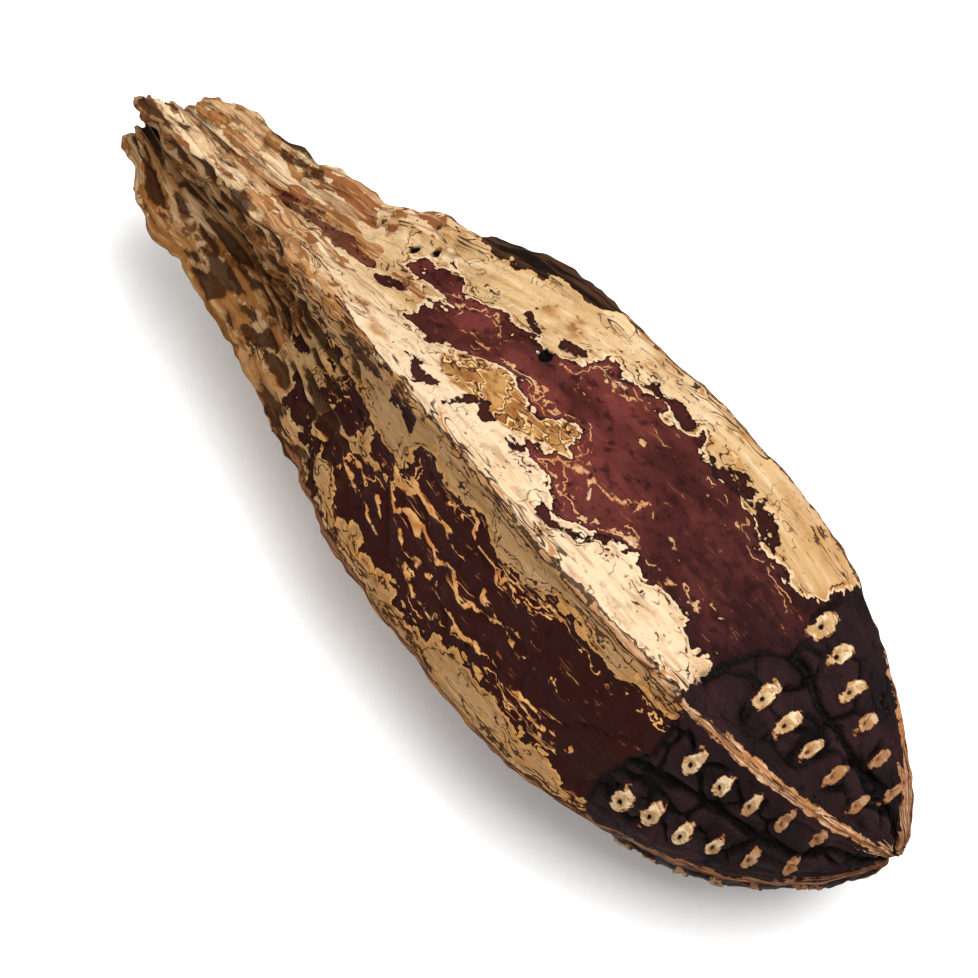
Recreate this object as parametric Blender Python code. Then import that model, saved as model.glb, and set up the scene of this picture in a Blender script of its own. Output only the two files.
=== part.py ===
"""The woody core of a mahogany fruit, dried and picked, lying on its side: one piece, as it grew.

Five ribs run from the broken stalk end to the pointed tip, with a hollow or swelling face between each two.
Near the tip every face carries two rows of raised seed scars with a groove between them.
+X runs along the core towards the tip and +Z is up. The origin is under its middle, on what it rests on.
"""

import math

import bmesh
import bpy
from mathutils import Vector, noise

MM = 0.001

# Driving dimensions, in millimetres and degrees.
LENGTH = 110.0
BELLY_RADIUS = 21.0  # from the middle line to a rib's crest, where the core is thickest
FLAT_DEPTH = 0.45  # how much the two lowest ribs are worn flat where the core rests

# Each rib's angle from straight up, towards -Y, and its size against the belly radius.
RIB_ANGLES = (20.0, 88.0, 147.5, 212.0, 304.0)
RIB_SIZES = (1.0, 0.97, 0.955, 1.045, 0.94)
RIB_TWIST = 4.0  # how far the ribs lean round the core at mid-length, in degrees
RIB_WANDER = 2.0  # how far each one strays by itself, in degrees

# Shapes along the core: (share of the length from the stalk end, value).
TOP_RIB_LEAN = (  # further lean of the first rib, in degrees
    (0.0, 0.0), (0.35, 0.0), (0.5, 1.0), (0.6, 3.0), (0.7, 5.5), (0.8, 8.0), (0.9, 11.5), (0.96, 12.0),
    (1.0, 10.0),
)  # fmt: skip
RIB_PROFILE = (  # rib height as a share of the belly radius
    (0.00, 0.335), (0.04, 0.38), (0.12, 0.45), (0.20, 0.54), (0.28, 0.65), (0.36, 0.775), (0.44, 0.89),
    (0.52, 0.97), (0.60, 1.00), (0.70, 0.975), (0.78, 0.89), (0.84, 0.77), (0.90, 0.60), (0.95, 0.405),
    (0.98, 0.225), (1.00, 0.035),
)  # fmt: skip
FACE_BULGE = (  # how far a face swells or sinks between its ribs, as a share of the radius there
    (0.0, -0.17), (0.15, -0.20), (0.32, -0.10), (0.48, 0.0), (0.65, 0.055), (0.84, 0.10), (1.0, 0.12),
)  # fmt: skip
FACE_FILL = (0.0, 0.0, -0.09, 0.0, -0.005)  # added to each face's bulge: the one underneath is hollow
SEAM_HEIGHT = ((0.0, 0.9), (0.15, 1.1), (0.45, 0.8), (0.8, 0.55), (0.95, 0.45), (1.0, 0.1))
SEAM_WIDTH = ((0.0, 1.7), (0.2, 1.9), (0.42, 1.5), (0.65, 1.15), (1.0, 0.8))  # half of it, in millimetres
CREST_ROUNDING = ((0.0, 0.85), (0.3, 0.8), (0.6, 0.55), (0.85, 0.35), (1.0, 0.0))  # 0 leaves a sharp crest
KNOB_HEIGHT = ((0.0, 0.9), (0.3, 0.8), (0.5, 0.45), (0.8, 0.25), (1.0, 0.0))
LUMP_HEIGHT = ((0.0, 0.95), (0.25, 0.75), (0.45, 0.42), (0.75, 0.30), (0.85, 0.12), (1.0, 0.05))
STRAND_HEIGHT = ((0.0, 0.55), (0.25, 0.50), (0.5, 0.22), (0.8, 0.12), (0.86, 0.0), (1.0, 0.0))

KNOB_SIZE = 3.2  # knobs that follow each other along a rib's crest
LUMP_SIZE = 7.0
LUMP_STRETCH = 1.9  # lumps are this much longer than wide
STRAND_SPACING = 3.2  # fibre strands side by side under the skin
STRAND_STRETCH = 7.0
NOISE_START = Vector((31.7, 4.3, 12.9))

# Single swellings, and hollows where the height is below zero:
# share of the length, degrees from straight up towards -Y, length, width, height.
SWELLINGS = (
    (0.085, 311, 46.0, 14.0, -2.6),
    (0.060, 311, 8.0, 8.0, 0.7),
    (0.235, 312, 5.0, 8.0, -0.4),
    (0.285, 312, 7.0, 8.0, 1.0),
    (0.400, 297, 17.0, 9.0, 3.2),
    (0.000, 90, 11.0, 10.0, -2.6),
    (0.080, 94, 10.0, 7.0, 0.6),
    (0.760, 102, 34.0, 26.0, 1.6),
    (0.905, 108, 18.0, 17.0, 2.0),
    (0.920, 308, 16.0, 14.0, -1.1),
    (0.165, 60, 24.0, 9.0, -1.6),
    (0.330, 355, 18.0, 12.0, -0.9),
    (0.480, 345, 20.0, 10.0, 0.8),
    (0.270, 185, 22.0, 10.0, -1.4),
)

# Seed scars: two staggered rows on each face, from the scar zone's edge to the tip.
SCAR_ZONE = 0.80  # share of the length where the dark scar zone starts
SCAR_ROWS = (0.25, 0.74)  # share of the way across a face
SCAR_STARTS = ((0.847, 0.815), (0.822, 0.850), (0.849, 0.819), (0.818, 0.846), (0.827, 0.848))
SCAR_SPACING = 0.0275
SCAR_LAST = 0.972
SCAR_STRAY = 0.35  # how far a scar sits from its even place
SCAR_LENGTH = 3.6  # across the core
SCAR_WIDTH = 2.3  # along the core
SCAR_HEIGHT = 0.85
SCAR_FOOT = 0.72  # where a pad's side ends, as a share of its length and width
SCAR_SHRINK = 0.45  # share of its size that a scar at the tip has lost
SCAR_TILT = -14.0
GROOVE_DEPTH = 1.0
GROOVE_WIDTH = 1.0

# Broken stalk end.
TORN_LENGTH = 1.7
TORN_SLANT = 2.6  # the break runs askew: further out at this angle, further in across from it
TORN_OUTMOST = 70.0
TORN_REACH = 0.09  # share of the length over which the broken edge wanders
TORN_TEETH = ((2.2, 1.0), (5.0, 0.6))  # how many round the end, height
BREAK_RINGS = ((0.74, 1.5), (0.45, 2.4), (0.18, 2.1))  # share of the end's radius, depth
BREAK_GRAIN = 2.1
BREAK_ROUGHNESS = 0.9

# How the surface is divided.
ACROSS_FACE = (0.0, 0.045, 0.11, 0.185, 0.27, 0.36, 0.44, 0.5, 0.56, 0.64, 0.73, 0.815, 0.89, 0.955)
BODY_RING_SPACING = 1.76
SCAR_RING_SPACING = 0.92
RUN_STEPS = 2000
SNAP = 0.08  # a point this near the resting plane is put on it

HUSK = (0.62, 0.42, 0.23, 1.0)
HUSK_ROUGHNESS = 0.78

FACES = len(RIB_ANGLES)


def along(table, share):
    """The value of a table at a share of the length, on a smooth curve through its rows."""
    places = [row[0] for row in table]
    values = [row[1] for row in table]
    share = min(max(share, places[0]), places[-1])
    slopes = [(values[i + 1] - values[i]) / (places[i + 1] - places[i]) for i in range(len(table) - 1)]
    tangents = [slopes[0]]
    for before, after in zip(slopes, slopes[1:]):
        tangents.append(0.0 if before * after <= 0 else 2 * before * after / (before + after))
    tangents.append(slopes[-1])
    i = next(i for i in range(len(slopes)) if share <= places[i + 1])
    span = places[i + 1] - places[i]
    t = (share - places[i]) / span
    return (
        values[i] * (1 + 2 * t) * (1 - t) ** 2
        + tangents[i] * span * t * (1 - t) ** 2
        + values[i + 1] * t * t * (3 - 2 * t)
        + tangents[i + 1] * span * t * t * (t - 1)
    )


def rough(*place):
    """Smooth seeded noise, from -1 to 1."""
    return noise.noise(Vector(place) + NOISE_START)


def rib_angle(rib, share):
    lean = RIB_TWIST * math.sin(math.pi * share)
    if rib == 0:
        lean += along(TOP_RIB_LEAN, share)
    own = RIB_WANDER * rough(share * 3.0, rib * 5.0, 0.5)
    return math.radians(RIB_ANGLES[rib] + lean + own)


def rib_radius(rib, share):
    return BELLY_RADIUS * RIB_SIZES[rib] * along(RIB_PROFILE, share)


def chord_radius(first, second, angle):
    """Distance from the middle line to the straight line between two (radius, angle) points."""
    (r1, a1), (r2, a2) = first, second
    return r1 * r2 * math.sin(a2 - a1) / (r1 * math.sin(angle - a1) + r2 * math.sin(a2 - angle))


def surface_runs():
    """(share of the length, distance walked along a rib's crest from the stalk end), in small steps."""
    runs = [(0.0, 0.0)]
    for i in range(RUN_STEPS):
        share, following = i / RUN_STEPS, (i + 1) / RUN_STEPS
        rise = (along(RIB_PROFILE, following) - along(RIB_PROFILE, share)) * BELLY_RADIUS
        runs.append((following, runs[-1][1] + math.hypot(LENGTH / RUN_STEPS, rise)))
    return runs


def ring_shares():
    """Where the rings stand: evenly along the surface, closer together over the scars."""
    runs = surface_runs()
    last_run = runs[-1][1] - 0.6 * SCAR_RING_SPACING
    shares, next_run = [], 0.0
    for share, run in runs:
        if next_run <= run < last_run:
            shares.append(share)
            next_run = run + (BODY_RING_SPACING if share < SCAR_ZONE else SCAR_RING_SPACING)
    return shares


def scars(face):
    """(share of the length, share across the face, size) of each scar on a face."""
    placed = []
    for across, start in zip(SCAR_ROWS, SCAR_STARTS[face]):
        for i in range(math.ceil((SCAR_LAST - start) / SCAR_SPACING)):
            share = start + i * SCAR_SPACING
            size = 1 - SCAR_SHRINK * (share - SCAR_ZONE) / (1 - SCAR_ZONE)
            placed.append((share, across, size))
    return placed


SCARS = [scars(face) for face in range(FACES)]


def scar_relief(face, share, across, face_width):
    """Height of the scar pads at a place on a face."""
    rise = (along(RIB_PROFILE, share + 0.01) - along(RIB_PROFILE, share - 0.01)) * BELLY_RADIUS
    stretch = math.hypot(1.0, rise / (0.02 * LENGTH))
    height = 0.0
    for n, (place, row, size) in enumerate(SCARS[face]):
        stray = SCAR_STRAY * rough(face * 3.1, n * 1.7, 2.0)
        run = (share - place) * LENGTH * stretch - stray
        side = (across - row) * face_width - stray
        tilt = math.radians(SCAR_TILT) * (1 + rough(face * 2.3, n * 1.9, 7.0))
        lengthwise = run * math.cos(tilt) - side * math.sin(tilt)
        crosswise = run * math.sin(tilt) + side * math.cos(tilt)
        far = math.hypot(lengthwise / SCAR_WIDTH, crosswise / SCAR_LENGTH) / size
        if far < SCAR_FOOT:
            height = max(height, SCAR_HEIGHT * size * math.cos(far / SCAR_FOOT * math.pi / 2))
    return height


def surface_radius(face, share, across):
    """(radius, angle) of the surface, across being 0 on one rib and 1 on the next."""
    last = (face + 1) % FACES
    full_turn = 2 * math.pi if last == 0 else 0.0
    first = (rib_radius(face, share), rib_angle(face, share))
    second = (rib_radius(last, share), rib_angle(last, share) + full_turn)
    angle = first[1] + (second[1] - first[1]) * across
    radius = chord_radius(first, second, angle)
    width = math.dist(
        (first[0] * math.cos(first[1]), first[0] * math.sin(first[1])),
        (second[0] * math.cos(second[1]), second[0] * math.sin(second[1])),
    )
    radius *= 1 + (along(FACE_BULGE, share) + FACE_FILL[face]) * (1 - (2 * across - 1) ** 2)
    from_rib = min(across, 1 - across) * width
    rib = face if across < 0.5 else last
    knob = along(KNOB_HEIGHT, share) * rough(share * LENGTH / KNOB_SIZE, rib * 7.0, 3.3)
    crest = along(SEAM_HEIGHT, share) + knob + along(CREST_ROUNDING, share) * from_rib
    radius += crest * math.exp(-((from_rib / along(SEAM_WIDTH, share)) ** 2))
    if share > SCAR_ZONE:
        inside = min((share - SCAR_ZONE) / 0.03, 1.0)
        stray = 0.06 * rough(share * 40.0, face * 9.0, 6.1)
        from_middle = (across - 0.5 - stray) * width
        narrow = min(1.0, width / 14.0)
        radius -= GROOVE_DEPTH * inside * narrow * math.exp(-((from_middle / (GROOVE_WIDTH * narrow)) ** 2))
        radius += scar_relief(face, share, across, width)
    return radius + swellings(share, radius, angle) + lumps(share, radius, angle), angle


def swellings(share, radius, angle):
    """Height of the single swellings and hollows at a place."""
    height = 0.0
    for place, turn, length, width, rise in SWELLINGS:
        run = (share - place) * LENGTH / (length / 2)
        side = math.remainder(angle - math.radians(turn), 2 * math.pi) * radius / (width / 2)
        height += rise * math.exp(-(run * run) - side * side)
    return height


def lumps(share, radius, angle):
    """Swellings and fibre strands that lift or sink the skin."""
    x, y, z = share * LENGTH, radius * math.sin(angle), radius * math.cos(angle)
    swell = rough(x / LUMP_SIZE / LUMP_STRETCH, y / LUMP_SIZE, z / LUMP_SIZE)
    swell += 0.5 * rough(x / LUMP_SIZE * 1.3, y / LUMP_SIZE * 2, z / LUMP_SIZE * 2)
    strand = rough(x / STRAND_SPACING / STRAND_STRETCH, y / STRAND_SPACING, z / STRAND_SPACING)
    return along(LUMP_HEIGHT, share) * swell + along(STRAND_HEIGHT, share) * strand


def surface_point(face, share, across):
    radius, angle = surface_radius(face, share, across)
    broken = max(0.0, 1 - share / TORN_REACH)
    torn = 0.0
    for teeth, height in TORN_TEETH:
        torn += height * rough(teeth * math.cos(angle), teeth * math.sin(angle), 9.0)
    slant = TORN_SLANT * math.cos(angle - math.radians(TORN_OUTMOST))
    x = share * LENGTH - broken * (TORN_LENGTH * torn + slant)
    return Vector((x, -radius * math.sin(angle), radius * math.cos(angle))) * MM


def columns():
    return [(face, across) for face in range(FACES) for across in ACROSS_FACE]


def stalk_break_rings(end_ring):
    """Points of the torn end, ring inside ring, each set back into the core."""
    middle = sum(end_ring, Vector()) / len(end_ring)
    for n, (share, depth) in enumerate(BREAK_RINGS):
        ring = []
        for point in end_ring:
            inner = middle + (point - middle) * share
            grain = rough(inner.y / MM / BREAK_GRAIN, inner.z / MM / BREAK_GRAIN, n * 4.0)
            inner.x += (depth + BREAK_ROUGHNESS * grain) * MM
            ring.append(inner)
        yield ring
    yield [middle + Vector((BREAK_RINGS[-1][1] * MM, 0, 0))]


def add_rings(mesh):
    """The skin: a ring of points at each station, joined to the next one, and closed at both ends."""
    body = [[surface_point(face, share, across) for face, across in columns()] for share in ring_shares()]
    inner = list(stalk_break_rings(body[0]))
    beak = [Vector((LENGTH * MM, *(sum(body[-1], Vector()) / len(body[-1]))[1:]))]
    rings = [[mesh.verts.new(point) for point in ring] for ring in [*reversed(inner), *body, beak]]
    for ring, following in zip(rings, rings[1:]):
        count = max(len(ring), len(following))
        for i in range(count):
            corners = [ring[i % len(ring)], ring[(i + 1) % len(ring)]]
            corners += [following[(i + 1) % len(following)], following[i % len(following)]]
            mesh.faces.new(list(dict.fromkeys(corners)))
    bmesh.ops.recalc_face_normals(mesh, faces=mesh.faces)


def wear_flat(mesh):
    """Cuts the lowest ribs on the plane that the core rests on, and closes the cuts."""
    floor = min(vert.co.z for vert in mesh.verts) + FLAT_DEPTH * MM
    for vert in mesh.verts:
        if abs(vert.co.z - floor) < SNAP * MM:
            vert.co.z = floor
    everything = [*mesh.verts, *mesh.edges, *mesh.faces]
    plane = {"plane_co": (0, 0, floor), "plane_no": (0, 0, -1)}
    bmesh.ops.bisect_plane(mesh, geom=everything, dist=1e-7, clear_outer=True, **plane)
    bmesh.ops.holes_fill(mesh, edges=[edge for edge in mesh.edges if edge.is_boundary], sides=0)
    bmesh.ops.recalc_face_normals(mesh, faces=mesh.faces)


def stand_on_origin(mesh):
    """Moves the core so that the origin is under the middle of its box, at its lowest point."""
    low = [min(vert.co[i] for vert in mesh.verts) for i in range(3)]
    high = [max(vert.co[i] for vert in mesh.verts) for i in range(3)]
    middle = Vector(((low[0] + high[0]) / 2, (low[1] + high[1]) / 2, low[2]))
    bmesh.ops.translate(mesh, verts=mesh.verts, vec=-middle)


def husk_material():
    material = bpy.data.materials.new("dried_husk")
    material.use_nodes = True
    shader = material.node_tree.nodes["Principled BSDF"]
    shader.inputs["Base Color"].default_value = HUSK
    shader.inputs["Roughness"].default_value = HUSK_ROUGHNESS
    shader.inputs["Metallic"].default_value = 0.0
    return material


def build_core():
    mesh = bmesh.new()
    add_rings(mesh)
    wear_flat(mesh)
    stand_on_origin(mesh)
    data = bpy.data.meshes.new("pod_core")
    mesh.to_mesh(data)
    mesh.free()
    core = bpy.data.objects.new("pod_core", data)
    bpy.context.scene.collection.objects.link(core)
    data.materials.append(husk_material())
    data.shade_smooth()


for old in list(bpy.data.objects):
    bpy.data.objects.remove(old)
build_core()
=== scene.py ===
"""The looks of the dried mahogany pod core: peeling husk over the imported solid, in a pale studio.

Lengths are in millimetres until they reach a mesh. A place on the core is a share of its length from the
stalk end, a face between two ribs, and a share of the way across that face.
"""

import math
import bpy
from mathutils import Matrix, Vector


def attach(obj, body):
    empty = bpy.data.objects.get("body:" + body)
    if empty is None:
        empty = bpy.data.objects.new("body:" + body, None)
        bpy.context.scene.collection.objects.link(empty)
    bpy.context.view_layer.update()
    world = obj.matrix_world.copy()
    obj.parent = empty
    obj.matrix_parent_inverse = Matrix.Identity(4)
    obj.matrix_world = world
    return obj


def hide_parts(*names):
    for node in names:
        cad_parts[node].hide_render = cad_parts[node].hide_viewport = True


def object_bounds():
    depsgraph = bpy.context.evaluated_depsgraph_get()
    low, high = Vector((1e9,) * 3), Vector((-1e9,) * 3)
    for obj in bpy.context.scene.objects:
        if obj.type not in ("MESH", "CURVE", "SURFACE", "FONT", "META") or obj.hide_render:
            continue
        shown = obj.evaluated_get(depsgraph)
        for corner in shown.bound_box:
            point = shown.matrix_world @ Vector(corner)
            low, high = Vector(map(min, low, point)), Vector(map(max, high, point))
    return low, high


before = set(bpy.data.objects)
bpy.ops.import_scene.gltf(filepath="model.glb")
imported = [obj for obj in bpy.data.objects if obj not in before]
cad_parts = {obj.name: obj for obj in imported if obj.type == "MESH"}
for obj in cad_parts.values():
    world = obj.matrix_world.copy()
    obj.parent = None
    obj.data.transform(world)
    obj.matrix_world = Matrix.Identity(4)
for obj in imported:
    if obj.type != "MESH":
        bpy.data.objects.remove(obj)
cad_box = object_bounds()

from types import SimpleNamespace

import bpy
import numpy as np
from mathutils import Vector, noise

MM = 0.001
LENGTH = 110.0

# The five ribs, as the solid has them: angle from straight up towards -Y, in degrees.
RIB_ANGLES = (20.0, 88.0, 147.5, 212.0, 304.0)
RIB_TWIST = 4.0
RIB_WANDER = 2.0
TOP_RIB_LEAN = (
    (0.0, 0.0), (0.35, 0.0), (0.5, 1.0), (0.6, 3.0), (0.7, 5.5), (0.8, 8.0), (0.9, 11.5), (0.96, 12.0),
    (1.0, 10.0),
)  # fmt: skip
NOISE_START = Vector((31.7, 4.3, 12.9))
# The skin's grain is laid on a cylinder of this radius, so that fibres draw together at both ends.
GIRTH_RADIUS = 17.5
# Each face lies between the rib of its own number and the next one. The photograph shows these two.
FACES = len(RIB_ANGLES)
UPPER_FACE = 4
LOWER_FACE = 0

# Outlines of the maroon prints, as (share of the length, share across the face) round each patch.
UPPER_PRINT = (
    (0.300, 0.23), (0.325, 0.20), (0.337, 0.23), (0.352, 0.25), (0.362, 0.28), (0.368, 0.33),
    (0.385, 0.35), (0.397, 0.31), (0.410, 0.30), (0.425, 0.33), (0.437, 0.37), (0.455, 0.37),
    (0.470, 0.42), (0.492, 0.39), (0.506, 0.33), (0.512, 0.20), (0.520, 0.17), (0.530, 0.21),
    (0.548, 0.22), (0.560, 0.205), (0.580, 0.19), (0.600, 0.225), (0.612, 0.21), (0.625, 0.165),
    (0.637, 0.20), (0.650, 0.235), (0.670, 0.24), (0.685, 0.22), (0.700, 0.26), (0.720, 0.25),
    (0.735, 0.29), (0.760, 0.285), (0.785, 0.29), (0.800, 0.27), (0.810, 0.22), (0.812, 0.07),
    (0.835, 0.045), (1.01, 0.05), (1.01, 0.93), (0.850, 0.93), (0.812, 0.92), (0.803, 0.86),
    (0.790, 0.79), (0.778, 0.845), (0.765, 0.83), (0.757, 0.79), (0.745, 0.76), (0.730, 0.76),
    (0.715, 0.78), (0.700, 0.785), (0.680, 0.77), (0.665, 0.79), (0.655, 0.82), (0.635, 0.85),
    (0.620, 0.865), (0.605, 0.84), (0.590, 0.82), (0.560, 0.80), (0.548, 0.80), (0.572, 0.76),
    (0.574, 0.66), (0.567, 0.56), (0.555, 0.545), (0.540, 0.60), (0.525, 0.63), (0.515, 0.65),
    (0.505, 0.61), (0.490, 0.595), (0.475, 0.60), (0.460, 0.63), (0.445, 0.63), (0.430, 0.67),
    (0.400, 0.70), (0.385, 0.75), (0.370, 0.73), (0.360, 0.70), (0.350, 0.60), (0.345, 0.54),
    (0.360, 0.50), (0.370, 0.43), (0.355, 0.36), (0.345, 0.33), (0.330, 0.33), (0.302, 0.28),
)  # fmt: skip
LOWER_PRINT = (
    (0.475, 0.30), (0.473, 0.20), (0.482, 0.13), (0.490, 0.12), (0.500, 0.155), (0.520, 0.17),
    (0.540, 0.165), (0.552, 0.15), (0.565, 0.12), (0.575, 0.17), (0.590, 0.21), (0.630, 0.21),
    (0.650, 0.20), (0.665, 0.15), (0.680, 0.13), (0.695, 0.125), (0.710, 0.165), (0.745, 0.19),
    (0.755, 0.18), (0.770, 0.12), (0.785, 0.11), (0.800, 0.17), (0.812, 0.19), (0.817, 0.06),
    (0.860, 0.05), (1.01, 0.06), (1.01, 0.95), (0.850, 0.955), (0.800, 0.92), (0.785, 0.91),
    (0.770, 0.90), (0.755, 0.84), (0.740, 0.80), (0.720, 0.83), (0.700, 0.80), (0.680, 0.79),
    (0.660, 0.77), (0.640, 0.75), (0.620, 0.76), (0.605, 0.79), (0.590, 0.82), (0.575, 0.87),
    (0.555, 0.885), (0.540, 0.89), (0.530, 0.84), (0.515, 0.81), (0.502, 0.84), (0.490, 0.88),
    (0.470, 0.87), (0.455, 0.80), (0.445, 0.84), (0.440, 0.89), (0.420, 0.88), (0.405, 0.84),
    (0.400, 0.77), (0.390, 0.80), (0.370, 0.80), (0.357, 0.77), (0.350, 0.70), (0.360, 0.63),
    (0.375, 0.66), (0.395, 0.64), (0.410, 0.60), (0.430, 0.57), (0.440, 0.52), (0.455, 0.50),
    (0.470, 0.52), (0.460, 0.44), (0.425, 0.45), (0.420, 0.39), (0.440, 0.36), (0.455, 0.38),
    (0.470, 0.36),
)  # fmt: skip
VALLEY_PATCH = (
    (0.307, 0.18), (0.330, 0.22), (0.345, 0.21), (0.360, 0.27), (0.385, 0.27), (0.390, 0.33),
    (0.410, 0.36), (0.405, 0.44), (0.395, 0.55), (0.375, 0.58), (0.360, 0.52), (0.345, 0.60),
    (0.335, 0.50), (0.335, 0.42), (0.360, 0.38), (0.345, 0.30), (0.320, 0.28),
)  # fmt: skip

# Cream strips left on the maroon, and maroon cracks through the cream: (width, places along its middle).
UPPER_STRIPS = (
    (0.37, ((0.388, 0.50), (0.395, 0.58), (0.410, 0.50), (0.425, 0.54), (0.442, 0.56))),
    (0.31, ((0.425, 0.40), (0.437, 0.47), (0.447, 0.49))),
    (0.31, ((0.521, 0.21), (0.535, 0.28), (0.540, 0.25), (0.550, 0.30))),
    (0.25, ((0.516, 0.33), (0.528, 0.41), (0.540, 0.43))),
    (0.56, ((0.602, 0.385), (0.607, 0.375))),
    (0.31, ((0.654, 0.64), (0.656, 0.56), (0.668, 0.62), (0.690, 0.61), (0.702, 0.645), (0.713, 0.65),
            (0.718, 0.62))),
    (0.25, ((0.650, 0.60), (0.641, 0.66), (0.620, 0.69), (0.603, 0.70), (0.592, 0.66), (0.580, 0.66))),
    (0.37, ((0.574, 0.72), (0.595, 0.71), (0.612, 0.735), (0.626, 0.75))),
    (0.31, ((0.656, 0.79), (0.660, 0.71), (0.670, 0.72), (0.681, 0.73))),
    (0.25, ((0.665, 0.77), (0.682, 0.745), (0.700, 0.755), (0.715, 0.74), (0.730, 0.735))),
    (0.31, ((0.726, 0.73), (0.757, 0.735))),
    (0.25, ((0.690, 0.38), (0.712, 0.37))),
    (0.25, ((0.760, 0.66), (0.775, 0.67))),
)  # fmt: skip
UPPER_CRACKS = (
    (1.49, ((0.300, 0.53), (0.316, 0.50))),
    (0.81, ((0.478, 0.27), (0.494, 0.25))),
    (0.56, ((0.430, 0.225), (0.440, 0.27), (0.452, 0.31))),
    (0.43, ((0.385, 0.92), (0.410, 0.90), (0.430, 0.93), (0.441, 0.90))),
    (0.56, ((0.462, 0.91), (0.480, 0.83), (0.491, 0.80), (0.497, 0.84), (0.506, 0.84))),
    (0.43, ((0.528, 0.845), (0.545, 0.83))),
    (0.5, ((0.603, 0.91), (0.620, 0.91), (0.637, 0.90), (0.652, 0.87), (0.660, 0.83))),
    (0.5, ((0.557, 0.14), (0.565, 0.125), (0.575, 0.15), (0.585, 0.13), (0.600, 0.155), (0.612, 0.165))),
    (0.37, ((0.665, 0.165), (0.680, 0.15), (0.700, 0.155), (0.720, 0.17), (0.735, 0.21), (0.752, 0.26))),
    (0.31, ((0.650, 0.18), (0.680, 0.185), (0.700, 0.20), (0.715, 0.19), (0.730, 0.23), (0.742, 0.27))),
    (0.25, ((0.645, 0.205), (0.664, 0.215), (0.684, 0.20))),
    (0.80, ((0.150, 0.42), (0.180, 0.40), (0.215, 0.42), (0.250, 0.46))),
    (1.00, ((0.215, 0.50), (0.240, 0.52), (0.275, 0.53))),
    (1.30, ((0.150, 0.44), (0.160, 0.46))),
)
LOWER_STRIPS = (
    (0.42, ((0.395, 0.70), (0.420, 0.74), (0.450, 0.73), (0.480, 0.76))),
    (0.39, ((0.500, 0.62), (0.525, 0.66), (0.550, 0.64), (0.575, 0.68), (0.600, 0.66))),
    (0.35, ((0.600, 0.42), (0.625, 0.44), (0.650, 0.48), (0.680, 0.49))),
    (0.39, ((0.650, 0.62), (0.675, 0.66), (0.705, 0.65), (0.735, 0.68))),
    (1.09, ((0.462, 0.36), (0.478, 0.41), (0.488, 0.33), (0.510, 0.35))),
    (0.63, ((0.510, 0.35), (0.530, 0.35), (0.546, 0.32))),
    (0.30, ((0.546, 0.35), (0.560, 0.365), (0.577, 0.36))),
    (0.78, ((0.470, 0.47), (0.486, 0.56), (0.500, 0.50), (0.520, 0.49), (0.545, 0.48))),
    (0.50, ((0.545, 0.52), (0.570, 0.49), (0.591, 0.555), (0.615, 0.52), (0.636, 0.46), (0.655, 0.40))),
    (0.63, ((0.555, 0.14), (0.563, 0.20), (0.580, 0.24), (0.600, 0.27), (0.611, 0.30), (0.620, 0.25))),
    (0.43, ((0.620, 0.25), (0.640, 0.285), (0.655, 0.25), (0.664, 0.24))),
    (0.69, ((0.460, 0.62), (0.466, 0.68))),
    (0.36, ((0.515, 0.76), (0.525, 0.74), (0.540, 0.80), (0.556, 0.78), (0.570, 0.80), (0.580, 0.74))),
    (0.63, ((0.600, 0.72), (0.620, 0.68), (0.630, 0.66))),
    (0.36, ((0.676, 0.75), (0.700, 0.72), (0.720, 0.70), (0.737, 0.71))),
    (0.36, ((0.700, 0.80), (0.720, 0.76), (0.740, 0.72), (0.757, 0.70))),
    (0.28, ((0.668, 0.37), (0.680, 0.38), (0.690, 0.41))),
    (0.28, ((0.702, 0.46), (0.735, 0.45))),
)
LOWER_CRACKS = (
    (0.6, ((0.300, 0.77), (0.320, 0.76), (0.340, 0.80))),
    (0.6, ((0.310, 0.84), (0.330, 0.85), (0.350, 0.88), (0.372, 0.86))),
    (0.83, ((0.370, 0.92), (0.392, 0.95))),
    (0.75, ((0.425, 0.085), (0.440, 0.06), (0.455, 0.09))),
    (0.9, ((0.230, 0.40), (0.270, 0.36))),
    (0.98, ((0.245, 0.60), (0.290, 0.55))),
    (0.75, ((0.180, 0.50), (0.215, 0.47))),
)

# Golden, wrinkled flakes on the upper face: (reach in mm, places along the middle).
OCHRE_PATCHES = (
    (2.9, ((0.435, 0.73), (0.480, 0.715), (0.525, 0.71), (0.572, 0.665))),
    (1.0, ((0.395, 0.54), (0.430, 0.57))),
)
# Knot holes in the upper face, painted black inside as shade: (share of the length, share across the face,
# radius in mm).
HOLES = ((0.478, 0.395, 0.80), (0.290, 0.19, 0.42), (0.308, 0.15, 0.38))
# The lifted flap's dark is partly its own brown and partly painted shade.
FLAP = (4, 0.408, 0.092)  # a dark lifted flap: its rib, its middle and half its length
FLAP_REACH = (3.2, 1.5)  # how far it comes over the faces before and after its rib, in mm

# Bare wood on the crest of each rib: how far it reaches to each side in mm, at each share of the length.
BARE_CRESTS = (
    ((0.0, 1.6), (0.30, 0.7), (0.42, -0.02), (0.70, -0.02), (0.78, 0.25), (0.86, 0.48), (1.0, 0.60)),
    ((0.0, 1.2), (0.35, 0.45), (0.80, 0.40), (0.85, 0.35), (1.0, 0.45)),
    ((0.0, 1.2), (0.35, 0.60), (1.0, 0.80)),
    ((0.0, 1.2), (0.35, 0.60), (1.0, 0.80)),
    ((0.0, 1.2), (0.35, 0.20), (0.91, 0.22), (0.96, 0.9), (1.0, 1.0)),
)
CREST_BROWNS = (0.0, 0.9, 0.5, 0.5, 0.45)

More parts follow.
